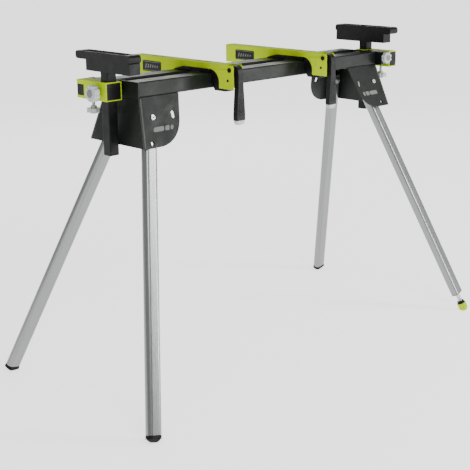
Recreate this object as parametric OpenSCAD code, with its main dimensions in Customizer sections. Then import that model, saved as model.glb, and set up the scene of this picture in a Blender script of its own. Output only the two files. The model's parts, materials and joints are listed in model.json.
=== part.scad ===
// Folding stand for a mitre saw: two rail tubes carried by four folding legs, an extension arm with
// a raised work support at each end, and two quick-release brackets that carry the saw.
// Millimetres, Z up, origin on the floor under the middle of the rail. The right end is the left end
// turned half a turn about Z.

/* [Rail] */
// Length of the two rail tubes
rail_len = 912; // [900:4:940]
// Height of the rail's top above the floor
rail_top = 812; // [790:1:840]
// Width over both rail tubes, front to back
rail_span = 140; // [138:1:144]
// Width of one rail tube
tube_w = 50; // [48:1:51]
// Height of one rail tube
tube_h = 38; // [37:0.5:38]
// Wall of the rail tubes
tube_wall = 2.5; // [2:0.1:2.8]

/* [Legs] */
// Distance from the middle to a foot, along the rail
foot_x = 642; // [630:1:655]
// Distance from the middle to a foot, across the rail
foot_y = 310; // [304:1:314]
// Distance from the middle to the leg pivots
pivot_x = 430; // [428:0.5:432]
// Height of the outer pivots below the rail's top
pivot_drop = 92; // [90:0.5:93]
// Width of a leg in the plane it folds in
leg_w = 40; // [38:0.5:40]
// Thickness of a leg
leg_t = 25; // [24:0.5:25]
// Distance from a pivot to its lock button
lock_r = 66; // [64:0.5:68]

/* [Leg brackets] */
// Lean of the bracket's front and back plates
lean = 18.3; // [18.1:0.1:18.5]
// Height of the bracket below the rail
bracket_h = 120; // [119:1:123]
// Length of the bracket along the rail
bracket_len = 126; // [120:1:130]
// Thickness of the bracket's sheet
sheet = 3; // [2.5:0.1:3]
// Outward slope of the bracket's end
end_slope = 9.8; // [9.4:0.1:10.2]

/* [Work supports] */
// Distance from the middle to the support posts
post_x = 495; // [494.5:0.5:495.5]
// Side of the square posts
post_w = 28; // [26:0.5:28]
// Height of the posts' lower ends
post_bottom = 629; // [615:1:645]
// Height of the supports' tops
support_top = 883; // [875:1:890]
// Length of a support bar
bar_len = 215; // [200:1:225]

/* [Saw brackets] */
// Place of the left bracket's middle along the rail
left_saw_x = -203; // [-260:0.5:-190]
// Place of the right bracket's middle along the rail
right_saw_x = 153; // [120:0.5:200]
// Width of a bracket
saw_w = 34; // [32:0.5:36]
// Reach of the brackets in front of the rail's middle
saw_front = 155; // [154:1:158]
// Reach of the brackets behind the rail's middle
saw_back = 246; // [220:1:250]
// Height of the brackets' tops
saw_top = 838; // [836:0.5:840]
// Length of a quick-release lever below its pin
lever_len = 127; // [110:1:140]

/* [Hidden] */
$fn = 48;
slide = 0.3;                     // gap on each side of a sliding tube
run = 0.05;                      // gap around a turning pin
tiny = 0.01;
tube_r = 4;
tube_inner_r = 1.5;
rivet_r = 3;
rivet_head_r = 6;
rivet_head_h = 2.5;
rivet_end = 20;                  // from the rail's end to the first rivet
rivet_pitch = 86;
hole_gap = 0.2;                  // around a fixed bolt or rivet
rail_bottom = rail_top - tube_h;
rail_mid = rail_top - tube_h / 2;
half_rail = rail_len / 2;
half_span = rail_span / 2;
tube_y = half_span - tube_w / 2; // middle of each tube, front or back

// Outer legs turn just inside the leaning plates, inner legs one lane further in
lane = 27;
washer = 1;
outer_gap = sheet + washer + leg_t / 2;
outer_z = rail_top - pivot_drop;
outer_y = half_span + (rail_bottom - outer_z) * tan(lean) - outer_gap / cos(lean);
inner_y = outer_y - lane * cos(lean);
inner_z = outer_z - lane * sin(lean);
function pivot_y(inner) = inner ? inner_y : outer_y;
function pivot_z(inner) = inner ? inner_z : outer_z;
function reach_y(inner) = inner ? foot_y - 1 : foot_y;
function leg_lean(inner) = atan((reach_y(inner) - pivot_y(inner)) / pivot_z(inner));
function leg_splay(inner) = atan((foot_x - pivot_x) * cos(leg_lean(inner)) / pivot_z(inner));
function leg_len(inner) = pivot_z(inner) / cos(leg_lean(inner)) / cos(leg_splay(inner));
// Distance along the pivot from the leg's middle to the plate's inner face
function plate_gap(inner) = leg_t / 2 + washer + (inner ? lane : 0);

leg_wall = 1.8;
leg_r = 11;
plug_stem = 34;                  // foot plugs reach this far up inside the tube
leg_head = 18;                   // leg above its pivot
leg_end = 19;                    // a leg stops this far short of the floor, along its axis
level_end = 64;                  // the leg with the levelling foot stops here
bolt_r = 4;
bolt_head_r = 6.2;
bolt_head_h = 2.5;
bolt_dome_h = 1.2;
nut_len = 6.5;
nut_recess = 7.4;                // from the leg's inner side to the far end of its nut
plug_len = 26;                   // a leg's upper plug, below the pivot
plug_rim = 3;
plug_gap = 0.2;                  // a plug is this much smaller than its tube
button_r = 5;
button_throw = 6;

arm_w = tube_w - 2 * tube_wall - 2 * slide;
arm_h = tube_h - 2 * tube_wall - 2 * slide;
arm_wall = 2;
arm_outer = 515;
arm_inner = 430;
guide_x0 = half_rail + tiny;
guide_x1 = 484;
box_x0 = 471;
box_x1 = 519;
box_y = 20;
guide_y0 = box_y + 0.4;
guide_y1 = 92;
box_bottom = 766;
back_x0 = guide_x1 + 2;
back_y1 = 99;
collar_wall = 2.5;
window_w = 28;
cap_z0 = box_bottom + 7;
cap_z1 = rail_top - 11;
cap_gap = 0.3;
knob_r = 20.5;
knob_h = 15;
foot_knob_r = 17.5;
foot_knob_h = 10;
arm_knob_h = 11;
flange_r = 8;
flange_h = 6;
knob_y = 10;
knob_z = 786;
stud_r = 4;
arm_knob_x = 467;
arm_knob_z = 795;
arm_knob_r = 17;
foot_knob_x = 502;
foot_knob_y = 56;
under_knob = 24;                 // from the collar to the knob below it
beside_knob = 11;                // from the collar to the knob on its outer face
bar_w = 36;
bar_h = 20;
web_w = post_w + 6;
web_h = 27;
web_sheet = 2.5;
saw_sheet = 2.5;
web_bottom = support_top - bar_h - web_h;
lever_w = saw_w - 2 * saw_sheet - 1;
lever_pin_y = saw_front - 13;
lever_pin_z = saw_top - 13;

// ---------- shared shapes ----------

// Rectangle w by h with corners of radius r, centred
module round_rect(w, h, r) {
    square([w - 2 * r, h], center = true);
    square([w, h - 2 * r], center = true);
    for (x = [-1, 1], y = [-1, 1])
        translate([x * (w / 2 - r), y * (h / 2 - r)]) circle(r);
}

// Box from corner a to corner b
module box(a, b) {
    translate(a) cube(b - a);
}

// Bar along X from x0 to x1, with a rounded section w across Y and h across Z
module bar_x(x0, x1, w, h, r) {
    translate([x0, 0, 0]) rotate([90, 0, 90]) linear_extrude(x1 - x0) round_rect(w, h, r);
}

// Everything below the floor, for cutting feet flat
module below_floor() {
    box([-2 * foot_x, -2 * foot_y, -50], [2 * foot_x, 2 * foot_y, 0]);
}

// Rod along +Y from the origin
module rod_y(r, len) {
    rotate([-90, 0, 0]) cylinder(r = r, h = len);
}

// The right end is the left end turned half a turn
module at_end(right) {
    rotate([0, 0, right ? 180 : 0]) children();
}

// Front legs are back legs mirrored front to back
module front_or_back(back) {
    if (back) children();
    else mirror([0, 1, 0]) children();
}

// Space of a leg at the left end: origin at the pivot, the leg runs down -Z, +Y points outwards.
// The inner leg is the back one.
module leg_space(inner) {
    front_or_back(inner)
        translate([-pivot_x, pivot_y(inner), pivot_z(inner)])
            rotate([leg_lean(inner), 0, 0]) rotate([0, leg_splay(inner), 0]) children();
}

// ---------- rail ----------

module rail_tube(side) {
    translate([0, side * tube_y, rail_mid]) difference() {
        bar_x(-half_rail, half_rail, tube_w, tube_h, tube_r);
        bar_x(-half_rail - 1, half_rail + 1, tube_w - 2 * tube_wall, tube_h - 2 * tube_wall,
              tube_inner_r);
        for (x = [-1, 1], n = [0, 1])
            translate([x * rivet_x(n), 0, -tube_h / 2 - 1])
                cylinder(r = rivet_r + hole_gap, h = tube_wall + 2);
    }
}

function rivet_x(n) = half_rail - rivet_end - n * rivet_pitch;

module front_rail_tube() {
    color([0.2, 0.21, 0.21]) rail_tube(-1);
}

module rear_rail_tube() {
    color([0.2, 0.21, 0.21]) rail_tube(1);
}

// Button-head rivets that hold the rail tubes on the brackets' top plates
module frame_rivets() {
    color([0.62, 0.63, 0.64]) for (x = [-1, 1], y = [-1, 1], n = [0, 1])
        translate([x * rivet_x(n), y * tube_y, rail_bottom - sheet]) {
            translate([0, 0, -rivet_head_h]) cylinder(r = rivet_head_r, h = rivet_head_h);
            cylinder(r = rivet_r, h = sheet + tube_wall - 0.1);
        }
}

// ---------- leg bracket ----------

// Outline of a leaning plate at the left end: x along the rail, y down the plate. Its inner edge
// slants towards the leg, more so beside an inner leg, and ends in a large round corner.
module plate_outline(inner) {
    down = bracket_h / cos(lean);
    top = -half_rail + bracket_len;
    slant = inner ? 40 : 31;
    corner = 80;
    edge = sqrt(down * down + slant * slant);
    cx = top + (slant * (corner - down) - corner * edge) / down;
    cy = corner - down;
    nx = down / edge;
    ny = -slant / edge;
    difference() {
        polygon([[-half_rail, 0], [top, 0], [top - slant, -down],
                 [-half_rail - bracket_h * tan(end_slope), -down]]);
        difference() {
            polygon([[cx, cy], [cx, -down - 1], [top - slant + 2, -down - 1],
                     [cx + (corner + 1) * nx, cy + (corner + 1) * ny]]);
            translate([cx, cy]) circle(corner, $fn = 96);
        }
    }
}

// One leaning plate with its pivot hole, lock hole and lock slot
module leaning_plate(inner) {
    front_or_back(inner) difference() {
        translate([0, half_span, rail_bottom]) rotate([lean, 0, 0])
            rotate([90, 0, 0]) linear_extrude(sheet) plate_outline(inner);
        front_or_back(inner) plate_holes(inner);
    }
}

module plate_holes(inner) {
    hole = button_r + 0.35;
    start = plate_gap(inner) - 6;
    leg_space(inner) translate([0, start, 0]) rod_y(bolt_r + 0.2, 14);
    leg_space(inner) translate([0, start, -lock_r]) rod_y(hole, 14);
    leg_space(inner) rotate([0, -90 - leg_splay(inner), 0]) for (s = [-1, 0, 1])
        translate([s * 4.5, start, -lock_r + abs(s) * 0.15]) rod_y(hole, 14);
}

module end_plate() {
    down = bracket_h / cos(end_slope);
    low = half_span + bracket_h * tan(lean);
    translate([-half_rail, 0, rail_bottom]) rotate([0, end_slope, 0]) rotate([90, 0, 90])
        linear_extrude(sheet)
            polygon([[-half_span, 0], [half_span, 0], [low, -down], [-low, -down]]);
}

module leg_bracket() {
    box([-half_rail, -half_span, rail_bottom - sheet],
        [-half_rail + bracket_len, half_span, rail_bottom - tiny]);
    leaning_plate(false);
    leaning_plate(true);
    end_plate();
    // Tab that rises over the end of the front rail tube
    box([-half_rail - sheet, -half_span, rail_bottom - sheet],
        [-half_rail - tiny, guide_y0 - 2, rail_top]);
}

module drilled_leg_bracket() {
    difference() {
        leg_bracket();
        for (y = [-1, 1], n = [0, 1])
            translate([-rivet_x(n), y * tube_y, rail_bottom - sheet - 1])
                cylinder(r = rivet_r + hole_gap, h = sheet + 2);
    }
}

module left_leg_bracket() {
    color([0.2, 0.21, 0.21]) drilled_leg_bracket();
}

module right_leg_bracket() {
    color([0.2, 0.21, 0.21]) at_end(true) drilled_leg_bracket();
}

// Bolts on which the legs turn: dome outside the plate, shank through the leg
module pivot_bolt(inner) {
    head = plate_gap(inner) + sheet + (inner ? 0.6 : 0.1);
    leg_space(inner) {
        translate([0, -leg_t / 2 - nut_recess - 0.6, 0])
            rod_y(bolt_r, head + leg_t / 2 + nut_recess + 0.6);
        translate([0, head, 0]) rod_y(bolt_head_r, bolt_head_h);
        translate([0, head + bolt_head_h, 0]) rod_y(bolt_head_r - 1.5, bolt_dome_h);
    }
}

module pivot_bolts() {
    color([0.75, 0.76, 0.77]) for (right = [false, true], inner = [false, true])
        at_end(right) pivot_bolt(inner);
}

// Lock nuts inside the legs, and the spacers that hold the inner legs in their lane
module pivot_nuts() {
    color([0.6, 0.61, 0.62]) for (right = [false, true], inner = [false, true]) at_end(right)
        leg_space(inner) {
            translate([0, -leg_t / 2 - nut_recess, 0]) difference() {
                rotate([-90, 0, 0]) cylinder(r = 7.5, h = nut_len, $fn = 6);
                translate([0, -1, 0]) rod_y(bolt_r, nut_len + 2);
            }
            translate([0, leg_t / 2 + 0.3, 0]) difference() {
                rod_y(inner ? 8 : 9, plate_gap(inner) - leg_t / 2 - (inner ? 0.7 : 0.4));
                translate([0, -1, 0]) rod_y(bolt_r + 0.1, plate_gap(inner));
            }
        }
}

// ---------- legs ----------

module leg_tube(inner, end = leg_end) {
    bottom = -leg_len(inner) + end;
    color([0.75, 0.76, 0.76]) leg_space(inner) difference() {
        translate([0, 0, bottom]) linear_extrude(leg_head - bottom) round_rect(leg_w, leg_t, leg_r);
        translate([0, 0, bottom - 1]) linear_extrude(leg_head - bottom + 2)
            round_rect(leg_w - 2 * leg_wall, leg_t - 2 * leg_wall, leg_r - leg_wall);
        translate([0, -leg_t, 0]) rod_y(bolt_r + 0.5, 2 * leg_t);
        translate([0, 0, -lock_r]) rod_y(button_r + run, leg_t);
    }
}

module front_left_leg() { leg_tube(false); }
module back_left_leg() { leg_tube(true); }
module back_right_leg() { at_end(true) leg_tube(false); }
module front_right_leg() { at_end(true) leg_tube(true, level_end); }

// Plastic plug in the leg's upper end: it is the bush that turns on the pivot bolt
module leg_plug(inner) {
    w = leg_w - 2 * leg_wall - plug_gap;
    t = leg_t - 2 * leg_wall - plug_gap;
    color([0.13, 0.13, 0.14]) leg_space(inner) difference() {
        union() {
            translate([0, 0, -plug_len]) linear_extrude(plug_len + leg_head)
                round_rect(w, t, leg_r - leg_wall);
            translate([0, 0, leg_head + tiny]) linear_extrude(plug_rim)
                round_rect(leg_w - 5, leg_t - 2, leg_r - 1);
        }
        translate([0, -leg_t, 0]) rod_y(bolt_r + run, 2 * leg_t);
    }
}

module front_left_leg_plug() { leg_plug(false); }
module back_left_leg_plug() { leg_plug(true); }
module back_right_leg_plug() { at_end(true) leg_plug(false); }
module front_right_leg_plug() { at_end(true) leg_plug(true); }

// Rubber foot: a dome flush with the leg, its stem inside the tube, and a flat where it meets the floor
module rubber_foot(inner) {
    dome = 17;
    color([0.08, 0.08, 0.09]) difference() {
        leg_space(inner) translate([0, 0, -leg_len(inner)]) {
            hull() for (a = [0:12:72])
                translate([0, 0, leg_end - tiny - dome * sin(a) - 1]) linear_extrude(1)
                    round_rect(leg_w * cos(a), leg_t * cos(a * 0.8), leg_r * cos(a), $fn = 32);
            translate([0, 0, leg_end - 6]) linear_extrude(plug_stem)
                round_rect(leg_w - 2 * leg_wall - plug_gap, leg_t - 2 * leg_wall - plug_gap,
                           leg_r - leg_wall);
        }
        below_floor();
    }
}

module front_left_foot() { rubber_foot(false); }
module back_left_foot() { rubber_foot(true); }
module back_right_foot() { at_end(true) rubber_foot(false); }

// The fourth leg ends in a threaded plug, a screw with a nut, and a foot turned by hand to level the stand
screw_r = 6;
screw_start = 12;
screw_len = 80;
level_r = 13.8;
level_top = 26;
nut_top = 34;
washer_r = 12.5;
washer_h = 2;
nut_r = 11.5;
rim = 4;

module levelling_space() {
    at_end(true) leg_space(true) translate([0, 0, -leg_len(true)]) children();
}

module levelling_plug() {
    color([0.42, 0.43, 0.44]) levelling_space() difference() {
        union() {
            translate([0, 0, level_end - rim]) linear_extrude(rim - tiny)
                round_rect(leg_w - 1, leg_t - 1, leg_r - 0.5);
            translate([0, 0, level_end - tiny]) linear_extrude(plug_stem + 8)
                round_rect(leg_w - 2 * leg_wall - plug_gap, leg_t - 2 * leg_wall - plug_gap,
                           leg_r - leg_wall);
        }
        cylinder(r = screw_r + run, h = 2 * level_end);
    }
}

module levelling_screw() {
    color([0.7, 0.71, 0.72]) levelling_space() translate([0, 0, screw_start])
        cylinder(r = screw_r, h = screw_len);
}

module levelling_nut() {
    color([0.13, 0.13, 0.14]) levelling_space() difference() {
        union() {
            translate([0, 0, level_top + tiny]) cylinder(r = washer_r, h = washer_h);
            translate([0, 0, level_top + washer_h])
                cylinder(r = nut_r, h = nut_top - level_top - washer_h, $fn = 6);
        }
        cylinder(r = screw_r, h = 2 * level_end);
    }
}

// A grip with finger grooves over a rounded tread, cut flat where it meets the floor
module levelling_foot() {
    tread = 9;
    color([0.73, 0.77, 0.08]) difference() {
        levelling_space() difference() {
            union() {
                translate([0, 0, tread]) cylinder(r = level_r, h = level_top - tread);
                translate([0, 0, tread]) intersection() {
                    sphere(r = level_r - 0.6, $fn = 64);
                    translate([0, 0, 0.5 - tread]) cylinder(r = level_r, h = tread);
                }
            }
            for (a = [0:45:315]) rotate([0, 0, a]) translate([level_r + 2, 0, tread + 3])
                cylinder(r = 3.2, h = 30, $fn = 24);
            translate([0, 0, screw_start - tiny]) cylinder(r = screw_r, h = level_top);
        }
        below_floor();
    }
}

// Spring button that snaps into the plate's lock hole, and into its slot when the leg is folded
module lock_button(inner) {
    tip = plate_gap(inner) - (lock_r + button_r) * abs(sin(leg_lean(inner) - lean)) - 0.5;
    color([0.8, 0.81, 0.82]) leg_space(inner) translate([0, 0, -lock_r]) {
        translate([0, 1, 0]) rod_y(button_r, tip - 1);
        translate([0, 1, 0]) rod_y(7.5, 2);
    }
}

module front_left_lock() { lock_button(false); }
module back_left_lock() { lock_button(true); }
module back_right_lock() { at_end(true) lock_button(false); }
module front_right_lock() { at_end(true) lock_button(true); }

// ---------- extension arms ----------

// Black guide on the end of the rear tube: the arm runs through it and its knob locks the arm
module arm_guide() {
    color([0.13, 0.13, 0.14]) difference() {
        box([-guide_x1, guide_y0, rail_bottom + 0.3], [-guide_x0, guide_y1, rail_top - 0.5]);
        translate([0, tube_y, rail_mid])
            bar_x(-guide_x1 - 1, -guide_x0 + 1, tube_w - 2 * tube_wall, tube_h - 2 * tube_wall,
                  tube_inner_r);
        translate([-arm_knob_x, tube_y, arm_knob_z]) rod_y(stud_r + run, 80);
    }
}

module left_arm_guide() { arm_guide(); }
module right_arm_guide() { at_end(true) arm_guide(); }

module arm_tube() {
    color([0.15, 0.15, 0.16]) translate([0, tube_y, rail_mid]) difference() {
        bar_x(-arm_outer, arm_inner, arm_w, arm_h, 2);
        bar_x(-arm_outer - 1, arm_inner + 1, arm_w - 2 * arm_wall, arm_h - 2 * arm_wall, 1);
    }
}

module left_arm() { arm_tube(); }
module right_arm() { at_end(true) arm_tube(); }

// Collar of folded sheet: an open-fronted box around the post and a shallower box round the arm
module collar() {
    w = collar_wall;
    hole = post_w / 2 + 1.5;
    color([0.73, 0.77, 0.08]) difference() {
        union() {
            box([-box_x1, -box_y, box_bottom], [-box_x0, box_y, rail_top]);
            box([-box_x1, box_y - tiny, box_bottom], [-back_x0, back_y1, rail_top]);
        }
        box([-box_x1 + w, -box_y - 1, box_bottom + w], [-box_x0 - w, box_y - w, rail_top - w]);
        box([-box_x1 + w, box_y - w - 1, box_bottom + w], [-back_x0 - w, back_y1 + 1, rail_top - w]);
        // Opening for the arm
        translate([0, tube_y, rail_mid]) bar_x(-box_x1 + w, -back_x0 + 1, arm_w + 0.2, arm_h + 0.2, 2.1);
        // Window at the back of the outer face, filled by the black end cap
        box([-box_x1 - 1, back_y1 - window_w, cap_z0], [-box_x1 + w + 1, back_y1 + 1, cap_z1]);
        translate([-post_x - hole, -hole, box_bottom - 1]) cube([2 * hole, 2 * hole, 60]);
        translate([-box_x1 - 1, knob_y, knob_z]) rotate([0, 90, 0]) cylinder(r = stud_r + run, h = w + 2);
        translate([-foot_knob_x, foot_knob_y, box_bottom - 1]) cylinder(r = stud_r + run, h = w + 2);
    }
}

module left_collar() { collar(); }
module right_collar() { at_end(true) collar(); }

// End cap: it closes the back of the collar and shows in the window
module collar_cap() {
    g = cap_gap;
    w = collar_wall + g;
    color([0.08, 0.08, 0.09]) difference() {
        union() {
            box([-box_x1 + w, back_y1 - window_w + g, box_bottom + w],
                [-back_x0 - w, back_y1, rail_top - w]);
            box([-box_x1 + 0.2, back_y1 - window_w + g, cap_z0 + g],
                [-box_x1 + w + tiny, back_y1, cap_z1 - g]);
        }
        translate([0, tube_y, rail_mid])
            bar_x(-box_x1 + collar_wall, -back_x0 + 1, arm_w + 0.2, arm_h + 0.2, 2.1);
    }
}

module left_collar_cap() { collar_cap(); }
module right_collar_cap() { at_end(true) collar_cap(); }

// Black block inside the collar's box, in which the post slides
module post_guide() {
    g = 0.2;
    color([0.13, 0.13, 0.14]) difference() {
        box([-box_x1 + collar_wall + g, -box_y + 0.6, box_bottom + collar_wall + g],
            [-box_x0 - collar_wall - g, box_y - collar_wall - g, rail_top - collar_wall - g]);
        translate([-post_x, 0, box_bottom]) linear_extrude(60)
            square(post_w + 2 * slide, center = true);
        translate([-box_x1, knob_y, knob_z]) rotate([0, 90, 0]) cylinder(r = stud_r + run, h = 15);
    }
}

module left_post_guide() { post_guide(); }
module right_post_guide() { at_end(true) post_guide(); }

// Clamp knob on its stud: the head starts at the origin and rises along +Z, the stud goes down
module knob(r, h, stud) {
    lobes = 8;
    groove_r = 4.6;
    boss_h = 2;
    color([0.68, 0.71, 0.7]) {
        difference() {
            cylinder(r = r, h = h);
            for (n = [0:lobes - 1]) rotate([0, 0, n * 360 / lobes])
                translate([r + 2.2, 0, -1]) cylinder(r = groove_r, h = h + 2, $fn = 32);
        }
        translate([0, 0, h - tiny]) cylinder(r = r * 0.55, h = boss_h);
        translate([0, 0, -flange_h]) cylinder(r = flange_r, h = flange_h + tiny);
        translate([0, 0, -stud]) cylinder(r = stud_r, h = stud);
    }
}

module post_knob() {
    head = box_x1 + beside_knob;
    translate([-head, knob_y, knob_z]) rotate([0, -90, 0])
        knob(knob_r, knob_h, head - post_x - post_w / 2 - slide);
}

module collar_knob() {
    head = box_bottom - under_knob;
    translate([-foot_knob_x, foot_knob_y, head]) rotate([180, 0, 0])
        knob(foot_knob_r, foot_knob_h, rail_mid - arm_h / 2 - head - 0.2);
}

module arm_knob() {
    head = guide_y1 + flange_h + 0.5;
    translate([-arm_knob_x, head, arm_knob_z]) rotate([-90, 0, 0])
        knob(arm_knob_r, arm_knob_h, head - tube_y - arm_w / 2 - 0.2);
}

module left_post_knob() { post_knob(); }
module right_post_knob() { at_end(true) post_knob(); }
module left_collar_knob() { collar_knob(); }
module right_collar_knob() { at_end(true) collar_knob(); }
module left_arm_knob() { arm_knob(); }
module right_arm_knob() { at_end(true) arm_knob(); }

// ---------- work supports ----------

module post() {
    color([0.13, 0.14, 0.14]) translate([-post_x, 0, post_bottom]) difference() {
        linear_extrude(web_bottom + web_h - web_sheet - 0.2 - post_bottom) round_rect(post_w, post_w, 2.5);
        translate([0, 0, -1]) linear_extrude(support_top) round_rect(post_w - 4, post_w - 4, 1.5);
    }
}

module left_post() { post(); }
module right_post() { at_end(true) post(); }

// Channel that carries the bar: it stops short of one end by the given length
module support_web(short) {
    y0 = -bar_len / 2 + 3;
    y1 = bar_len / 2 - short;
    color([0.15, 0.15, 0.16]) translate([-post_x, 0, web_bottom]) difference() {
        box([-web_w / 2, y0, 0], [web_w / 2, y1, web_h]);
        box([-web_w / 2 + web_sheet, y0 + web_sheet, -1],
            [web_w / 2 - web_sheet, y1 - web_sheet, web_h - web_sheet]);
    }
}

module left_support_web() { support_web(40); }
module right_support_web() { at_end(true) support_web(26); }

module support_bar() {
    color([0.1, 0.1, 0.11]) translate([-post_x, 0, support_top - bar_h / 2])
        rotate([0, 0, 90]) rotate([90, 0, 0]) translate([0, 0, -bar_w / 2])
            linear_extrude(bar_w) round_rect(bar_len, bar_h - 2 * tiny, 8);
}

module left_support_bar() { support_bar(); }
module right_support_bar() { at_end(true) support_bar(); }

// ---------- saw brackets ----------

// Side outline of a bracket: x is front to back, y is height
module saw_outline() {
    arc = 34;
    hook_front = 102;
    low_front = rail_top - 36;
    low_back = rail_top - 25;
    over = 11;
    difference() {
        polygon([[-saw_front, low_front], [-saw_front, saw_top - 5], [-saw_front + 5, saw_top],
                 [saw_back, saw_top], [saw_back, low_back], [half_span + 16, low_back],
                 [half_span + 6, rail_top - 8], [half_span + 4, rail_top + 1],
                 [half_span - 38, rail_top + over],
                 [-hook_front + arc, rail_top + over], [-hook_front, rail_top + over - arc],
                 [-hook_front, low_front]]);
        translate([-hook_front + arc, rail_top + over - arc]) circle(arc, $fn = 96);
    }
}

module saw_side(x) {
    translate([x, 0, 0]) rotate([90, 0, 90]) linear_extrude(saw_sheet) saw_outline();
}

// Channel of folded sheet: two sides and a top web with two bolt slots
slot_len = 60;
slot_half = 4.5;
slot_ys = [-20, 160];
module saw_bracket(x) {
    color([0.73, 0.77, 0.08]) translate([x, 0, 0]) difference() {
        union() {
            saw_side(-saw_w / 2);
            saw_side(saw_w / 2 - saw_sheet);
            box([-saw_w / 2 + tiny, -saw_front + 34, saw_top - saw_sheet],
                [saw_w / 2 - tiny, saw_back, saw_top]);
            box([-saw_w / 2 + tiny, saw_back - saw_sheet, rail_top - 25],
                [saw_w / 2 - tiny, saw_back, saw_top]);
        }
        for (y = slot_ys) translate([0, y, saw_top - 6]) {
            for (e = [-1, 1]) translate([0, e * (slot_len / 2 - slot_half), 0])
                cylinder(r = slot_half, h = 12);
            box([-slot_half, -slot_len / 2 + slot_half, 0], [slot_half, slot_len / 2 - slot_half, 12]);
        }
        translate([-saw_w, -lever_pin_y, lever_pin_z]) rotate([0, 90, 0])
            cylinder(r = 4, h = 2 * saw_w);
    }
}

module left_saw_bracket() { saw_bracket(left_saw_x); }
module right_saw_bracket() { saw_bracket(right_saw_x); }

// Jaw that the lever presses against the front tube
module jaw(x) {
    w = saw_w - 2 * saw_sheet - 1;
    y0 = -124;
    face = half_span + 0.4;
    color([0.12, 0.12, 0.13]) translate([x - w / 2, 0, 0]) rotate([90, 0, 90]) linear_extrude(w)
        polygon([[y0, rail_top - 43], [y0, rail_top + 16], [y0 + 8, rail_top + 22],
                 [-face - 4, rail_top + 22], [-face, rail_top + 18], [-face, rail_top - 26],
                 [-face - 12, rail_top - 43]]);
}

module left_jaw() { jaw(left_saw_x); }
module right_jaw() { jaw(right_saw_x); }

// Pad on which the bracket slides along both tubes, with a lip behind the rear one. It is hollowed
// out from above to leave room for the saw's bolts.
module rear_pad(x) {
    w = saw_w - 2 * saw_sheet - 0.4;
    gap = 0.4;
    back = half_span + gap;
    front = -half_span + 8;
    color([0.12, 0.12, 0.13]) difference() {
        translate([x - w / 2, 0, 0]) rotate([90, 0, 90]) linear_extrude(w)
            polygon([[front, rail_top + gap], [back, rail_top + gap], [back, rail_top - 22],
                     [back + 12, rail_top - 22], [back + 12, rail_top + 16], [back - 6, rail_top + 22],
                     [back - 22, rail_top + 22], [back - 28, rail_top + 14], [front, rail_top + 14]]);
        box([x - w / 2 + 4, front - 1, rail_top + 9], [x + w / 2 - 4, back - 28, rail_top + 17]);
    }
}

module left_rear_pad() { rear_pad(left_saw_x); }
module right_rear_pad() { rear_pad(right_saw_x); }

module lever_pin(x) {
    color([0.7, 0.71, 0.72]) translate([x - saw_w / 2 - 1, -lever_pin_y, lever_pin_z])
        rotate([0, 90, 0]) {
            cylinder(r = 4 - run, h = saw_w + 2);
            translate([0, 0, -1.5]) cylinder(r = 6, h = 1.5 + tiny);
            translate([0, 0, saw_w + 2 - tiny]) cylinder(r = 6, h = 1.5);
        }
}

module left_lever_pin() { lever_pin(left_saw_x); }
module right_lever_pin() { lever_pin(right_saw_x); }

// Quick-release lever: a cam round the pin, an arm that reaches out in front of the bracket and a
// grip that widens downwards
grip_back = 9;
grip_front = 24;
tip_len = 11;
cam_r = 11;

module lever(x) {
    w = lever_w;
    end = lever_len;
    color([0.09, 0.09, 0.1]) translate([x, -lever_pin_y, lever_pin_z]) difference() {
        union() {
            rotate([0, 90, 0]) translate([0, 0, -w / 2]) cylinder(r = cam_r, h = w);
            intersection() {
                translate([-w, 0, 0]) rotate([90, 0, 90]) linear_extrude(2 * w)
                    polygon([[0, cam_r], [-grip_front + 10, 9], [-grip_front + 2, 3],
                             [-grip_front, -8], [-grip_front, -end], [-grip_back, -end],
                             [-grip_back, -18], [0, -cam_r]]);
                translate([0, grip_front, 0]) rotate([90, 0, 0]) linear_extrude(3 * grip_front)
                    polygon([[-9, 12], [9, 12], [9, -40], [14.5, -end + 14], [14, -end],
                             [-14, -end], [-14.5, -end + 14], [-9, -40]]);
            }
        }
        rotate([0, 90, 0]) translate([0, 0, -w]) cylinder(r = 4, h = 2 * w);
    }
}

module left_lever() { lever(left_saw_x); }
module right_lever() { lever(right_saw_x); }

// Light end of the grip
module lever_tip(x) {
    color([0.68, 0.71, 0.7])
        translate([x, -lever_pin_y - grip_back - 1, lever_pin_z - lever_len - tiny])
            rotate([90, 0, 0]) linear_extrude(grip_front - grip_back - 2)
                polygon([[-13.5, 0], [13.5, 0], [13, -tip_len + 5], [9, -tip_len],
                         [-9, -tip_len], [-13, -tip_len + 5]]);
}

module left_lever_tip() { lever_tip(left_saw_x); }
module right_lever_tip() { lever_tip(right_saw_x); }

front_rail_tube();
rear_rail_tube();
left_leg_bracket();
right_leg_bracket();
left_arm_guide();
right_arm_guide();
frame_rivets();
pivot_bolts();
pivot_nuts();
front_left_leg();
back_left_leg();
back_right_leg();
front_right_leg();
front_left_leg_plug();
back_left_leg_plug();
back_right_leg_plug();
front_right_leg_plug();
front_left_foot();
back_left_foot();
back_right_foot();
levelling_plug();
levelling_screw();
levelling_nut();
levelling_foot();
front_left_lock();
back_left_lock();
back_right_lock();
front_right_lock();
left_arm();
right_arm();
left_collar();
right_collar();
left_collar_cap();
right_collar_cap();
left_post_guide();
right_post_guide();
left_post_knob();
right_post_knob();
left_collar_knob();
right_collar_knob();
left_arm_knob();
right_arm_knob();
left_post();
right_post();
left_support_web();
right_support_web();
left_support_bar();
right_support_bar();
left_saw_bracket();
right_saw_bracket();
left_jaw();
right_jaw();
left_rear_pad();
right_rear_pad();
left_lever();
right_lever();
left_lever_pin();
right_lever_pin();
left_lever_tip();
right_lever_tip();
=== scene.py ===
"""Folding mitre saw stand: materials, small visible pieces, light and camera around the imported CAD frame."""

import json
import math

import bmesh
import bpy
from mathutils import Euler, Matrix, Vector


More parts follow.
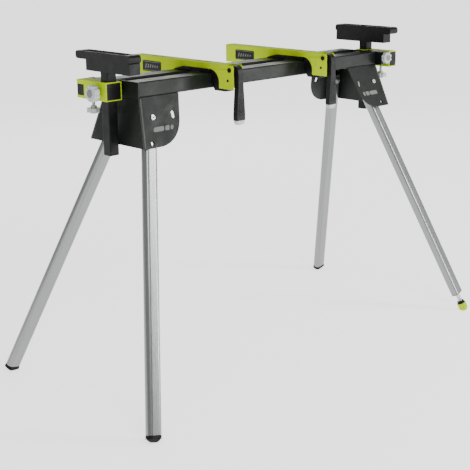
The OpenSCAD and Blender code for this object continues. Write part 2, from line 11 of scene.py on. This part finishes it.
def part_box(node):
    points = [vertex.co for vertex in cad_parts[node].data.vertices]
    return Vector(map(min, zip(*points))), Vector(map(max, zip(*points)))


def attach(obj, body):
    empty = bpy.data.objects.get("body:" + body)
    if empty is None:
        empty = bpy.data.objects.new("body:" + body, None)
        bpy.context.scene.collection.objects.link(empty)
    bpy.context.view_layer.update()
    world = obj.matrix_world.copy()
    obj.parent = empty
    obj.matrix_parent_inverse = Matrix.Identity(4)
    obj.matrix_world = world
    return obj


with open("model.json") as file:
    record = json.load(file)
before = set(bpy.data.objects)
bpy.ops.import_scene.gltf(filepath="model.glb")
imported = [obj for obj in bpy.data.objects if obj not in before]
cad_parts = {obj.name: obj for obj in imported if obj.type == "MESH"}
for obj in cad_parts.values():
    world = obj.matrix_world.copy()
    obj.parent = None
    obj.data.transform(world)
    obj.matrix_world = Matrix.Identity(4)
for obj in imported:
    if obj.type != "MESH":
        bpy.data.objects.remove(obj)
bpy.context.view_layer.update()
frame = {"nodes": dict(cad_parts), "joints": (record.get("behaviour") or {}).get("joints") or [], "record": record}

MM = 0.001
SLOT_OF = {row["node"]: row["material_slot"] for row in frame["record"]["subparts"]}
JOINTS = {joint["name"]: joint for joint in frame["joints"]}
SIDES = ("left", "right")
LEGS = ("front_left", "back_left", "back_right", "front_right")


# ---------- camera, light and floor ----------

CAMERA_PLACE = Vector((-2.0625, -2.0723, 1.1604))
CAMERA_YAW = math.radians(43.874)
CAMERA_PITCH = math.radians(16.064)
CAMERA_ROLL = math.radians(-0.564)
CAMERA_LENS = 80.49
SENSOR = 36.0
SKY_LIGHT = 0.58
SKY_SEEN = 1.85
LIGHTS_AIM = (0, 0, 0.6)
# Name, place, size in metres and power in watts.
SOFTBOXES = (
    ("key_softbox", (-1.3, -3.1, 2.7), (1.6, 1.4), 45),
    ("side_softbox", (2.3, -2.9, 1.2), (0.7, 2.2), 90),
    ("rim_softbox", (2.4, 2.9, 2.0), (2.6, 1.0), 22),
)
FLOOR_HALF = 120.0
FLOOR_GREY = 0.93
FLOOR_ROUGHNESS = 0.9
FLOOR_GLOW = 1.5


def add_camera():
    data = bpy.data.cameras.new("camera")
    data.lens = CAMERA_LENS
    data.sensor_width = SENSOR
    camera = bpy.data.objects.new("camera", data)
    camera.location = CAMERA_PLACE
    aim = Euler((math.pi / 2 - CAMERA_PITCH, 0, -CAMERA_YAW)).to_matrix()
    camera.rotation_euler = (aim @ Matrix.Rotation(CAMERA_ROLL, 3, "Z")).to_euler()
    bpy.context.scene.collection.objects.link(camera)
    bpy.context.scene.camera = camera


def add_area_light(name, place, size, power):
    data = bpy.data.lights.new(name, "AREA")
    data.shape = "RECTANGLE"
    data.size, data.size_y = size
    data.energy = power
    lamp = bpy.data.objects.new(name, data)
    lamp.location = place
    lamp.rotation_euler = (Vector(LIGHTS_AIM) - Vector(place)).to_track_quat("-Z", "Y").to_euler()
    bpy.context.scene.collection.objects.link(lamp)


def add_light():
    world = bpy.data.worlds.new("studio")
    world.use_nodes = True
    sky = world.node_tree.nodes["Background"]
    sky.inputs["Color"].default_value = (1.0, 1.0, 1.0, 1)
    # Seen by the camera the sky is as bright as the floor; as a light it is softer.
    nodes, links = world.node_tree.nodes, world.node_tree.links
    strength = nodes.new("ShaderNodeMapRange")
    strength.inputs["To Min"].default_value = SKY_LIGHT
    strength.inputs["To Max"].default_value = SKY_SEEN
    links.new(nodes.new("ShaderNodeLightPath").outputs["Is Camera Ray"], strength.inputs["Value"])
    links.new(strength.outputs["Result"], sky.inputs["Strength"])
    bpy.context.scene.world = world
    for name, place, size, power in SOFTBOXES:
        add_area_light(name, place, size, power)


def add_floor():
    mesh = bpy.data.meshes.new("floor")
    half = FLOOR_HALF
    mesh.from_pydata([(-half, -half, 0), (half, -half, 0), (half, half, 0), (-half, half, 0)], [],
                     [(0, 1, 2, 3)])
    floor = bpy.data.objects.new("floor", mesh)
    bpy.context.scene.collection.objects.link(floor)
    material = bpy.data.materials.new("floor")
    material.use_nodes = True
    shader = material.node_tree.nodes["Principled BSDF"]
    shader.inputs["Base Color"].default_value = (FLOOR_GREY, FLOOR_GREY, FLOOR_GREY, 1)
    shader.inputs["Roughness"].default_value = FLOOR_ROUGHNESS
    shader.inputs["Emission Color"].default_value = (1, 1, 1, 1)
    shader.inputs["Emission Strength"].default_value = FLOOR_GLOW
    mesh.materials.append(material)


# ---------- materials ----------

class Nodes:
    """A short way to write a node tree around one Principled shader."""

    def __init__(self, name):
        self.material = bpy.data.materials.new(name)
        self.material.use_nodes = True
        self.tree = self.material.node_tree
        self.shader = self.tree.nodes["Principled BSDF"]
        self.coordinates = self.add("ShaderNodeTexCoord").outputs["Object"]

    def add(self, kind, **settings):
        node = self.tree.nodes.new(kind)
        for key, value in settings.items():
            setattr(node, key, value)
        return node

    def link(self, output, socket):
        self.tree.links.new(output, socket)

    def set(self, **values):
        for key, value in values.items():
            self.shader.inputs[key.replace("_", " ")].default_value = value

    def mapped(self, stretch=(1, 1, 1), turn=(0, 0, 0)):
        """Object coordinates turned and stretched, for brushed or drawn surfaces."""
        rotate = self.add("ShaderNodeMapping")
        rotate.inputs["Rotation"].default_value = turn
        self.link(self.coordinates, rotate.inputs["Vector"])
        scale = self.add("ShaderNodeMapping")
        scale.inputs["Scale"].default_value = stretch
        self.link(rotate.outputs["Vector"], scale.inputs["Vector"])
        return scale.outputs["Vector"]

    def noise(self, scale, detail=3.0, rough=0.55, vector=None):
        node = self.add("ShaderNodeTexNoise")
        node.inputs["Scale"].default_value = scale
        node.inputs["Detail"].default_value = detail
        node.inputs["Roughness"].default_value = rough
        self.link(vector or self.coordinates, node.inputs["Vector"])
        return node.outputs["Fac"]

    def cells(self, scale):
        node = self.add("ShaderNodeTexVoronoi", feature="F1")
        node.inputs["Scale"].default_value = scale
        self.link(self.coordinates, node.inputs["Vector"])
        return node.outputs["Distance"]

    def ramp(self, value, stops):
        """Each stop is (place from 0 to 1, colour)."""
        node = self.add("ShaderNodeValToRGB")
        band = node.color_ramp
        while len(band.elements) < len(stops):
            band.elements.new(0.5)
        for element, (place, colour) in zip(band.elements, stops):
            element.position = place
            element.color = (*colour, 1)
        self.link(value, node.inputs["Fac"])
        return node.outputs["Color"]

    def spread(self, value, low, high):
        """Stretches the middle of a noise over low to high."""
        node = self.add("ShaderNodeMapRange")
        node.inputs["From Min"].default_value = 0.3
        node.inputs["From Max"].default_value = 0.7
        node.inputs["To Min"].default_value = low
        node.inputs["To Max"].default_value = high
        self.link(value, node.inputs["Value"])
        return node.outputs["Result"]

    def mix(self, factor, first, second):
        node = self.add("ShaderNodeMix", data_type="RGBA", blend_type="MIX")
        self.link(factor, node.inputs["Factor"])
        for value, socket in ((first, node.inputs[6]), (second, node.inputs[7])):
            if isinstance(value, tuple):
                socket.default_value = (*value, 1)
            else:
                self.link(value, socket)
        return node.outputs[2]

    def bumps(self, *layers):
        """Each layer is (height, strength, distance in metres)."""
        normal = None
        for height, strength, distance in layers:
            node = self.add("ShaderNodeBump")
            node.inputs["Strength"].default_value = strength
            node.inputs["Distance"].default_value = distance
            self.link(height, node.inputs["Height"])
            if normal is not None:
                self.link(normal, node.inputs["Normal"])
            normal = node.outputs["Normal"]
        self.link(normal, self.shader.inputs["Normal"])


def scaled(colour, factor):
    return tuple(min(1.0, channel * factor) for channel in colour)


def powder_coat(name, colour, roughness, grain, dust, specular):
    """Baked powder paint: fine orange peel, soft mottling, light dust and a few rubbed marks."""
    n = Nodes(name)
    mottling = n.noise(9, 4)
    base = n.ramp(mottling, [(0.3, scaled(colour, 0.88)), (0.72, scaled(colour, 1.1))])
    speck = n.ramp(n.noise(1700, 1), [(0.62, (0, 0, 0)), (0.74, (1, 1, 1))])
    base = n.mix(speck, base, scaled(colour, 1.45))
    dusty = n.ramp(n.noise(26, 6, 0.7), [(0.52, (0, 0, 0)), (0.82, (dust,) * 3)])
    base = n.mix(dusty, base, (0.42, 0.41, 0.39))
    rubbed = n.noise(1, 2, 0.5, n.mapped((60, 480, 480)))
    rubbed = n.ramp(rubbed, [(0.71, (0, 0, 0)), (0.76, (0.3, 0.3, 0.3))])
    base = n.mix(rubbed, base, scaled(colour, 1.9))
    n.link(base, n.shader.inputs["Base Color"])
    n.link(n.spread(n.noise(34, 5), roughness - 0.07, roughness + 0.09), n.shader.inputs["Roughness"])
    n.set(Specular_IOR_Level=specular)
    n.bumps((n.noise(620, 2), 0.35 * grain, 0.0003), (n.noise(2600, 1), 0.25 * grain, 0.0001))
    return n.material


def moulded_plastic(name, colour, roughness, texture=1.0, specular=0.4):
    """Injection-moulded plastic with a fine spark-eroded texture and handling marks."""
    n = Nodes(name)
    tone = n.ramp(n.noise(14, 4), [(0.3, scaled(colour, 0.9)), (0.7, scaled(colour, 1.12))])
    grime = n.ramp(n.noise(48, 7, 0.72), [(0.55, (0, 0, 0)), (0.8, (0.04, 0.04, 0.04))])
    n.link(n.mix(grime, tone, (0.3, 0.29, 0.27)), n.shader.inputs["Base Color"])
    n.link(n.spread(n.noise(60, 5), roughness - 0.08, roughness + 0.1), n.shader.inputs["Roughness"])
    n.set(Specular_IOR_Level=specular)
    n.bumps((n.cells(1500), 0.3 * texture, 0.00012), (n.noise(3200, 2), 0.3 * texture, 0.00008))
    return n.material


def rubber(name, colour):
    """Matt rubber with a dusty bloom."""
    n = Nodes(name)
    tone = n.ramp(n.noise(30, 6, 0.65), [(0.32, scaled(colour, 0.8)), (0.75, scaled(colour, 1.7))])
    dust = n.ramp(n.noise(90, 6, 0.75), [(0.5, (0, 0, 0)), (0.8, (0.08, 0.08, 0.08))])
    n.link(n.mix(dust, tone, (0.2, 0.19, 0.175)), n.shader.inputs["Base Color"])
    n.link(n.spread(n.noise(70, 4), 0.62, 0.85), n.shader.inputs["Roughness"])
    n.set(Specular_IOR_Level=0.2)
    n.bumps((n.noise(900, 4), 0.45, 0.0002))
    return n.material


def brushed_metal(name, colour, roughness, turn=(0, 0, 0)):
    """Drawn or brushed metal: long streaks along the turned Z axis, pits and faint handling marks."""
    n = Nodes(name)
    along = n.mapped((420, 420, 3.2), turn)
    fine = n.mapped((1500, 1500, 9), turn)
    streak = n.noise(1, 3, 0.6, along)
    hair = n.noise(1, 2, 0.6, fine)
    cloud = n.noise(7, 5)
    tone = n.ramp(streak, [(0.3, scaled(colour, 0.9)), (0.7, scaled(colour, 1.08))])
    stain = n.ramp(cloud, [(0.5, (0, 0, 0)), (0.85, (0.25, 0.25, 0.25))])
    n.link(n.mix(stain, tone, scaled(colour, 0.7)), n.shader.inputs["Base Color"])
    n.link(n.spread(hair, roughness - 0.07, roughness + 0.09), n.shader.inputs["Roughness"])
    n.set(Metallic=0.9)
    n.bumps((streak, 0.14, 0.0002), (hair, 0.12, 0.0001))
    return n.material


LIME = (0.41, 0.56, 0.0)
CHARCOAL = (0.0075, 0.0098, 0.0082)
# Lighter than the charcoal paint: a painted highlight along the brackets' bends.
FOLD_HIGHLIGHT_GREY = (0.03, 0.034, 0.03)
COAT_BLACK = (0.0045, 0.005, 0.0055)
PLASTIC_BLACK = (0.0045, 0.0045, 0.005)
RUBBER_BLACK = (0.006, 0.006, 0.0065)
LABEL_BLACK = (0.004, 0.004, 0.0045)
ZINC = (0.60, 0.61, 0.62)
ALUMINIUM = (0.23, 0.236, 0.234)
ALUMINIUM_ROUGHNESS = 0.26
GREY_KNOB = (0.42, 0.46, 0.45)
CAP_GREY = (0.13, 0.135, 0.14)
MARK_GREY = (0.13, 0.137, 0.13)


def make_materials():
    """Every material but the legs' aluminium, which follows each leg's direction."""
    return {
        "charcoal_paint": powder_coat("charcoal_paint", CHARCOAL, 0.36, 1.0, dust=0.03, specular=0.16),
        # The folds' lighter colour is a painted highlight along the bends.
        "fold_paint": powder_coat("fold_paint", FOLD_HIGHLIGHT_GREY, 0.3, 1.0, dust=0.03, specular=0.4),
        "black_paint": powder_coat("black_paint", COAT_BLACK, 0.4, 1.0, dust=0.03, specular=0.14),
        "lime_paint": powder_coat("lime_paint", LIME, 0.5, 0.8, dust=0.0, specular=0.03),
        "zinc_steel": brushed_metal("zinc_steel", ZINC, 0.3),
        "black_plastic": moulded_plastic("black_plastic", PLASTIC_BLACK, 0.42, specular=0.15),
        "lime_plastic": moulded_plastic("lime_plastic", LIME, 0.42, specular=0.08),
        "grey_plastic": moulded_plastic("grey_plastic", GREY_KNOB, 0.4),
        "dark_grey_plastic": moulded_plastic("dark_grey_plastic", CAP_GREY, 0.48),
        "black_rubber": rubber("black_rubber", RUBBER_BLACK),
        "label_black": moulded_plastic("label_black", LABEL_BLACK, 0.34, 0.3, specular=0.15),
        "mark_grey": moulded_plastic("mark_grey", MARK_GREY, 0.5, 0.6),
    }


def leg_turn(leg):
    """Rotation that brings a leg's length onto Z, for its brushed material."""
    return leg_space(leg).to_3x3().inverted().to_euler()


WELD_DISTANCE = 0.00002
BEVEL_ANGLE = math.radians(34)
# Bevel widths in millimetres.
BRACKET_BEVEL = 1.4
LEG_BEVEL = 0.4
STEEL_BEVEL = 0.3
OTHER_BEVEL = 0.7


def soften(piece, bevel):
    piece.data.shade_smooth()
    weld = piece.modifiers.new("weld", "WELD")
    weld.merge_threshold = WELD_DISTANCE
    if bevel:
        edge = piece.modifiers.new("bevel", "BEVEL")
        edge.width = bevel * MM
        edge.segments = 3
        edge.limit_method = "ANGLE"
        edge.angle_limit = BEVEL_ANGLE
    piece.modifiers.new("normals", "WEIGHTED_NORMAL").keep_sharp = True


def dress(node, material, bevel):
    """Gives a CAD node its material and soft edges."""
    piece = frame["nodes"][node]
    piece.data.materials.clear()
    piece.data.materials.append(material)
    for face in piece.data.polygons:
        face.material_index = 0
    soften(piece, bevel)


def dress_all(materials):
    for node, slot in SLOT_OF.items():
        if slot == "leg_aluminium":
            leg = node.replace("_leg", "")
            name = "leg_aluminium_" + leg
            dress(node, brushed_metal(name, ALUMINIUM, ALUMINIUM_ROUGHNESS, leg_turn(leg)), LEG_BEVEL)
        elif node.endswith("_leg_bracket"):
            dress(node, materials[slot], BRACKET_BEVEL)
        else:
            dress(node, materials[slot], STEEL_BEVEL if slot == "zinc_steel" else OTHER_BEVEL)


# ---------- mesh helpers ----------

def space(origin, x_axis, z_axis):
    """Matrix of a space at origin whose Z is z_axis and whose X is as near to x_axis as it can be."""
    z = Vector(z_axis).normalized()
    y = z.cross(Vector(x_axis)).normalized()
    x = y.cross(z)
    turn = Matrix((x, y, z)).transposed().to_4x4()
    return Matrix.Translation(Vector(origin)) @ turn


def rounded(width, height, radius, steps=5):
    """Outline of a rectangle with round corners, centred."""
    points = []
    for quarter, (sx, sy) in enumerate(((1, 1), (-1, 1), (-1, -1), (1, -1))):
        for step in range(steps + 1):
            angle = math.radians(90 * (quarter + step / steps))
            points.append((sx * (width / 2 - radius) + radius * math.cos(angle),
                           sy * (height / 2 - radius) + radius * math.sin(angle)))
    return points


def slab(bm, outline, low, high, place=Matrix()):
    """Adds a closed plate with the outline between two heights."""
    bottom = [bm.verts.new(place @ Vector((x, y, low))) for x, y in outline]
    top = [bm.verts.new(place @ Vector((x, y, high))) for x, y in outline]
    bm.faces.new(bottom[::-1])
    bm.faces.new(top)
    for n in range(len(outline)):
        after = (n + 1) % len(outline)
        bm.faces.new((bottom[n], bottom[after], top[after], top[n]))


def lathe(bm, profile, place=Matrix(), steps=40):
    """Adds a closed solid turned about Z; the profile of (radius, height) starts and ends on the axis."""
    rings = []
    for radius, height in profile:
        if radius == 0:
            rings.append([bm.verts.new(place @ Vector((0, 0, height)))])
        else:
            rings.append([bm.verts.new(place @ Vector((radius * math.cos(a), radius * math.sin(a), height)))
                          for a in (2 * math.pi * n / steps for n in range(steps))])
    for low, high in zip(rings, rings[1:]):
        for n in range(steps):
            after = (n + 1) % steps
            corners = [low[n % len(low)], low[after % len(low)], high[after % len(high)], high[n % len(high)]]
            corners = [c for k, c in enumerate(corners) if c not in corners[:k]]
            bm.faces.new(corners)


def add_piece(name, bm, body, material, bevel=0.0):
    """Turns a mesh under construction into a piece that rides on a body."""
    bmesh.ops.recalc_face_normals(bm, faces=bm.faces)
    mesh = bpy.data.meshes.new(name)
    bm.to_mesh(mesh)
    bm.free()
    piece = bpy.data.objects.new(name, mesh)
    bpy.context.scene.collection.objects.link(piece)
    mesh.materials.append(material)
    soften(piece, bevel)
    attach(piece, body)


# ---------- marks and labels ----------

def slanted_bars(bm, count, pitch, width, height, slant, thickness, place):
    """A generic mark: a row of slanted bars, shorter towards its end."""
    for n in range(count):
        middle = (n - (count - 1) / 2) * pitch
        half = height / 2 * (1 - 0.12 * n)
        outline = [(middle - width / 2 - slant * half, -half), (middle + width / 2 - slant * half, -half),
                   (middle + width / 2 + slant * half, half), (middle - width / 2 + slant * half, half)]
        slab(bm, outline, 0, thickness, place)


LABEL_SIZE = (0.078, 0.029)
LABEL_CORNER = 0.003
LABEL_THICKNESS = 0.0006
LABEL_FROM_FRONT = 0.3205
LABEL_FROM_TOP = 0.027
RULE_SIZE = (0.072, 0.0011)
RULE_CORNER = 0.0005
RULE_TOP = 0.0009
RULE_FROM_MIDDLE = 0.0115


def add_labels():
    """A black label near the rear end of both sides of each saw bracket, with a generic mark."""
    for side in SIDES:
        low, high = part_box(side + "_saw_bracket")
        body = side + "_saw_bracket_body"
        middle_y = low.y + LABEL_FROM_FRONT
        middle_z = high.z - LABEL_FROM_TOP
        for face, x in ((-1, low.x), (1, high.x)):
            place = space((x, middle_y, middle_z), (0, face, 0), (face, 0, 0))
            name = side + ("_inner" if (face == 1) == (side == "left") else "_outer")
            plate = bmesh.new()
            slab(plate, rounded(*LABEL_SIZE, LABEL_CORNER), 0, LABEL_THICKNESS, place)
            add_piece(name + "_label", plate, body, MATERIALS["label_black"], 0.2)
            rim = bmesh.new()
            for edge in (-1, 1):
                slab(rim, rounded(*RULE_SIZE, RULE_CORNER), LABEL_THICKNESS, RULE_TOP,
                     place @ Matrix.Translation((0, edge * RULE_FROM_MIDDLE, 0)))
            slanted_bars(rim, count=6, pitch=0.0095, width=0.0042, height=0.012, slant=0.35, thickness=0.0004,
                         place=place @ Matrix.Translation((0, 0, LABEL_THICKNESS)))
            add_piece(name + "_label_mark", rim, body, MATERIALS["mark_grey"])


PIVOT_TO_PLATE_FACE = 0.0165


def plate_spaces():
    """The four leaning plates: name, point on the outer face at the pivot, direction inwards, normal."""
    for side, leg in (("left", "front_left"), ("right", "back_right")):
        joint = JOINTS[leg + "_leg_fold"]
        pivot = Vector(joint["pos_m"])
        out = Vector(joint["axis"])
        inwards = Vector((-math.copysign(1, pivot.x), 0, 0))
        for face in (1, -1):
            origin = pivot + out * PIVOT_TO_PLATE_FACE
            origin.y *= face
            normal = Vector((out.x, out.y * face, out.z))
            front = "front" if origin.y < 0 else "back"
            yield front + "_" + side, origin, inwards, normal


MARK_LENGTH = 0.064
MARK_HEIGHT = 0.0115
MARK_CORNER = 0.0048
MARK_GAP_CORNER = 0.0006
MARK_SLANT = 0.3
MARK_THICKNESS = 0.0004
MARK_FROM_PIVOT = (0.026, 0.031)
MARK_CUTS = ((0.0, 0.034), (0.0378, 0.0508), (0.0546, MARK_LENGTH))


def add_plate_marks():
    """A generic mark on each leaning plate: a rounded bar cut by slanted gaps into three lengths."""
    inward, below = MARK_FROM_PIVOT
    for name, origin, inwards, normal in plate_spaces():
        place = space(origin, inwards, normal)
        up = 1 if place.col[1].z > 0 else -1
        middle = place @ Matrix.Translation((inward, -up * below, 0.0001))
        mark = bmesh.new()
        for start, end in MARK_CUTS:
            corner = MARK_CORNER if start == 0 or end == MARK_LENGTH else MARK_GAP_CORNER
            outline = [(x + (start + end - MARK_LENGTH) / 2 + MARK_SLANT * up * y, y)
                       for x, y in rounded(end - start, MARK_HEIGHT, corner)]
            slab(mark, outline, 0, MARK_THICKNESS, middle)
        add_piece(name + "_plate_mark", mark, "frame", MATERIALS["mark_grey"])


FOLD_RADIUS = 0.0034
FOLD_INSET = 0.55


def add_bracket_folds():
    """Rounded folds where each bracket's end plate meets its two leaning plates, painted lighter than the charcoal
    as a painted highlight along each bend.
    """
    radius = FOLD_RADIUS
    for side in SIDES:
        low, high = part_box(side + "_leg_bracket")
        tube_low, tube_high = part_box("front_rail_tube")
        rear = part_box("rear_rail_tube")[1].y
        folds = bmesh.new()
        for face in (-1, 1):
            bottom_y = high.y if face == 1 else low.y
            bottom_x, top_x = (low.x, tube_low.x) if side == "left" else (high.x, tube_high.x)
            bottom, top = Vector((bottom_x, bottom_y, low.z)), Vector((top_x, face * rear, tube_low.z))
            run = top - bottom
            inset = Vector((1 if side == "left" else -1, -face, 0)) * radius * FOLD_INSET
            length = run.length
            place = space(bottom + inset, (1, 0, 0), run)
            lathe(folds, [(0, 0.001), (radius * 0.8, 0.001), (radius, 0.003), (radius, length - 0.004),
                          (radius * 0.8, length - 0.002), (0, length - 0.002)], place, 28)
        add_piece(side + "_bracket_folds", folds, "frame", MATERIALS["fold_paint"])


# ---------- knobs and levers ----------

KNOB_RADII = (("post", 0.0205), ("collar", 0.0175), ("arm", 0.017))
KNOB_LOBES = 8
KNOB_CAP_SHARE = 0.55
KNOB_RIB_SIZE = (0.0062, 0.0022)
KNOB_RIB_CORNER = 0.001
KNOB_RIB_PAST_CAP = 0.0048
KNOB_RIB_DEPTH = 0.002


def add_knob_faces():
    """Each clamp knob gets a pressed-in cap and short ribs between it and the lobes."""
    for side in SIDES:
        for kind, radius in KNOB_RADII:
            name = f"{side}_{kind}_knob"
            joint = JOINTS[name + "_turn"]
            out = Vector(joint["axis"])
            low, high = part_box(name)
            face = max(Vector(corner).dot(out) for corner in (low, high))
            centre = Vector(joint["pos_m"])
            centre += out * (face - centre.dot(out))
            place = space(centre, (0, 0.3, 1) if abs(out.z) < 0.5 else (1, 0, 0), out)
            cap = bmesh.new()
            hub = radius * KNOB_CAP_SHARE
            lathe(cap, [(0, 0), (hub * 0.9, 0), (hub * 0.9, 0.0006), (hub * 0.78, 0.0014),
                        (hub * 0.66, 0.0008), (hub * 0.4, 0.0011), (0, 0.0014)], place)
            add_piece(name + "_cap", cap, name + "_body",
                      MATERIALS["dark_grey_plastic"])
            ribs = bmesh.new()
            for n in range(KNOB_LOBES):
                turn = Matrix.Rotation(2 * math.pi * (n + 0.5) / KNOB_LOBES, 4, "Z")
                start = place @ Matrix.Translation((0, 0, -KNOB_RIB_DEPTH)) @ turn
                slab(ribs, rounded(*KNOB_RIB_SIZE, KNOB_RIB_CORNER), -0.0002, 0.0009,
                     start @ Matrix.Translation((hub + KNOB_RIB_PAST_CAP, 0, 0)))
            add_piece(name + "_ribs", ribs, name + "_body", MATERIALS["grey_plastic"], 0.25)


GRIP_RIBS = 9
GRIP_RIB_WIDTH = 0.0185
GRIP_RIB_TAPER = 0.0007
GRIP_RIB_HEIGHT = 0.0026
GRIP_RIB_CORNER = 0.0012
GRIP_START = 0.012
GRIP_PITCH = 0.0062


def add_lever_details():
    """Cross ribs on the front of each lever's grip, and a head on each end of its pin."""
    for side in SIDES:
        low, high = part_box(side + "_lever")
        body = side + "_lever_body"
        middle_x = (low.x + high.x) / 2
        place = space((middle_x, low.y, low.z), (1, 0, 0), (0, -1, 0))
        up = 1 if place.col[1].z > 0 else -1
        grip = bmesh.new()
        for n in range(GRIP_RIBS):
            width = GRIP_RIB_WIDTH - GRIP_RIB_TAPER * n
            slab(grip, rounded(width, GRIP_RIB_HEIGHT, GRIP_RIB_CORNER), -0.0002, 0.0011,
                 place @ Matrix.Translation((0, up * (GRIP_START + GRIP_PITCH * n), 0)))
        add_piece(side + "_lever_grip_ribs", grip, body, MATERIALS["black_plastic"], 0.4)
        pin_low, pin_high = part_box(side + "_lever_pin")
        pin = (pin_low + pin_high) / 2
        clips = bmesh.new()
        for x, out in ((pin_low.x, -1), (pin_high.x, 1)):
            lathe(clips, [(0, 0), (0.0036, 0), (0.0036, 0.0007), (0.0022, 0.0011), (0, 0.0005)],
                  space((x, pin.y, pin.z), (0, 0, 1), (out, 0, 0)), 28)
        add_piece(side + "_lever_pin_heads", clips, side + "_saw_bracket_body",
                  MATERIALS["black_paint"])


SCREW_BEHIND_PIN = 0.007
SCREW_BELOW_PIN = 0.027
SCREW_SLOT = (0.0036, 0.0008)


def add_saw_bracket_screws():
    """Dark domed screws with a raised cross, one on each side plate below the lever's pin."""
    for side in SIDES:
        low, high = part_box(side + "_saw_bracket")
        pin_low, pin_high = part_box(side + "_lever_pin")
        pin = (pin_low + pin_high) / 2
        screws = bmesh.new()
        for x, out in ((low.x, -1), (high.x, 1)):
            place = space((x, pin.y + SCREW_BEHIND_PIN, pin.z - SCREW_BELOW_PIN), (0, 0, 1), (out, 0, 0))
            lathe(screws, [(0, 0), (0.0036, 0), (0.0034, 0.0009), (0.0022, 0.0016), (0, 0.0018)], place, 28)
            for turn in (0, math.pi / 2):
                slab(screws, rounded(*SCREW_SLOT, 0.0003, 2), 0.0015, 0.0020,
                     place @ Matrix.Rotation(turn, 4, "Z"))
        add_piece(side + "_saw_bracket_screws", screws, side + "_saw_bracket_body",
                  MATERIALS["black_paint"])


BOLT_REACH = 0.012


def add_bolt_rings_and_socket_shades():
    """A raised ring on the head of each pivot bolt, with a thin black hexagon inside it as painted shade where a
    socket's hollow would be.
    """
    for leg in LEGS:
        joint = JOINTS[leg + "_leg_fold"]
        pivot = Vector(joint["pos_m"])
        out = Vector(joint["axis"])
        if out.y * pivot.y < 0:
            out = -out
        reach = max((vertex.co - pivot).dot(out) for vertex in frame["nodes"]["pivot_bolts"].data.vertices
                    if (vertex.co - pivot).cross(out).length < BOLT_REACH)
        place = space(pivot + out * reach, (1, 0, 0), out)
        ring = bmesh.new()
        lathe(ring, [(0, -0.0004), (0.0040, -0.0004), (0.0038, 0.0002), (0.0031, 0.0004), (0.0029, 0.0001),
                     (0, 0.0001)], place, 32)
        add_piece(leg + "_bolt_ring", ring, "frame", MATERIALS["zinc_steel"])
        # Painted shade: a flat black hexagon on the head stands in for the dark hollow of a socket.
        socket = bmesh.new()
        lathe(socket, [(0, 0), (0.0024, 0), (0.0022, 0.0003), (0, 0.0002)], place, 6)
        add_piece(leg + "_bolt_socket", socket, "frame", MATERIALS["black_paint"])


# ---------- work supports ----------

STRIP_SHORTER_THAN_BAR = 0.044
STRIP_WIDTH = 0.024
STRIP_RIBS = 7
STRIP_RIB_PITCH = 0.0031
STRIP_RIB_WIDTH = 0.0014
STRIP_TO_SCREW = 0.006


def add_support_details():
    """A ribbed anti-slip strip along each bar, with a screw at each end of it."""
    for side in SIDES:
        low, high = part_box(side + "_support_bar")
        body = side + "_support"
        middle = Vector(((low.x + high.x) / 2, (low.y + high.y) / 2, high.z))
        length = high.y - low.y - STRIP_SHORTER_THAN_BAR
        place = space(middle, (0, 1, 0), (0, 0, 1))
        strip = bmesh.new()
        slab(strip, rounded(length, STRIP_WIDTH, 0.002), -0.0002, 0.0005, place)
        for n in range(STRIP_RIBS):
            across = (n - (STRIP_RIBS - 1) / 2) * STRIP_RIB_PITCH
            slab(strip, rounded(length - 0.004, STRIP_RIB_WIDTH, 0.0006), 0.0005, 0.0010,
                 place @ Matrix.Translation((0, across, 0)))
        add_piece(side + "_bar_strip", strip, body, MATERIALS["black_rubber"], 0.2)
        screws = bmesh.new()
        for end in (-1, 1):
            spot = place @ Matrix.Translation((end * (length / 2 + STRIP_TO_SCREW), 0, 0))
            lathe(screws, [(0, -0.0002), (0.0034, -0.0002), (0.0032, 0.0007), (0.0016, 0.0011),
                           (0.0014, 0.0004), (0, 0.0003)], spot, 24)
        add_piece(side + "_bar_screws", screws, body, MATERIALS["zinc_steel"])


# ---------- legs ----------

LEG_END_REACH = 0.06


def leg_space(leg):
    """Space at the lower end of a leg's tube: Z up the leg, Y along its pivot."""
    joint = JOINTS[leg + "_leg_fold"]
    pivot = Vector(joint["pos_m"])
    points = [vertex.co for vertex in frame["nodes"][leg + "_leg"].data.vertices]
    far = max((point - pivot).length for point in points)
    ring = [point for point in points if (point - pivot).length > far - LEG_END_REACH]
    end = sum(ring, Vector()) / len(ring)
    up = (pivot - end).normalized()
    across = Vector(joint["axis"]).cross(up)
    return space(end, across, up)


FOOT_RING_SIZE = (0.0404, 0.0254)
FOOT_RING_CORNER = 0.0086
FOOT_RING_HALF_HEIGHT = 0.0009
FOOT_RING_PLACES = (-0.0045, -0.0085)
THREAD_TURNS = 14
THREAD_START = -0.0297
THREAD_PITCH = 0.0018
THREAD_CREST = 0.0066
THREAD_ROOT = 0.0058


def add_leg_details():
    """Two raised rings round each rubber foot, and the thread of the levelling foot's screw."""
    for leg in LEGS[:3]:
        place = leg_space(leg)
        rings = bmesh.new()
        for z in FOOT_RING_PLACES:
            slab(rings, rounded(*FOOT_RING_SIZE, FOOT_RING_CORNER), z - FOOT_RING_HALF_HEIGHT,
                 z + FOOT_RING_HALF_HEIGHT, place)
        add_piece(leg + "_foot_rings", rings, leg + "_leg_body",
                  MATERIALS["black_rubber"], 0.5)
    place = leg_space("front_right")
    thread = bmesh.new()
    turns = []
    for n in range(THREAD_TURNS):
        z = THREAD_START + n * THREAD_PITCH
        turns += [(THREAD_ROOT, z), (THREAD_CREST, z + THREAD_PITCH * 0.45),
                  (THREAD_CREST, z + THREAD_PITCH * 0.6)]
    lathe(thread, [(0, turns[0][1])] + turns + [(0, turns[-1][1])], place, 32)
    add_piece("levelling_thread", thread, "levelling_foot_body", MATERIALS["zinc_steel"])


add_camera()
add_light()
add_floor()
MATERIALS = make_materials()
dress_all(MATERIALS)
add_labels()
add_plate_marks()
add_bracket_folds()
add_knob_faces()
add_lever_details()
add_saw_bracket_screws()
add_bolt_rings_and_socket_shades()
add_support_details()
add_leg_details()
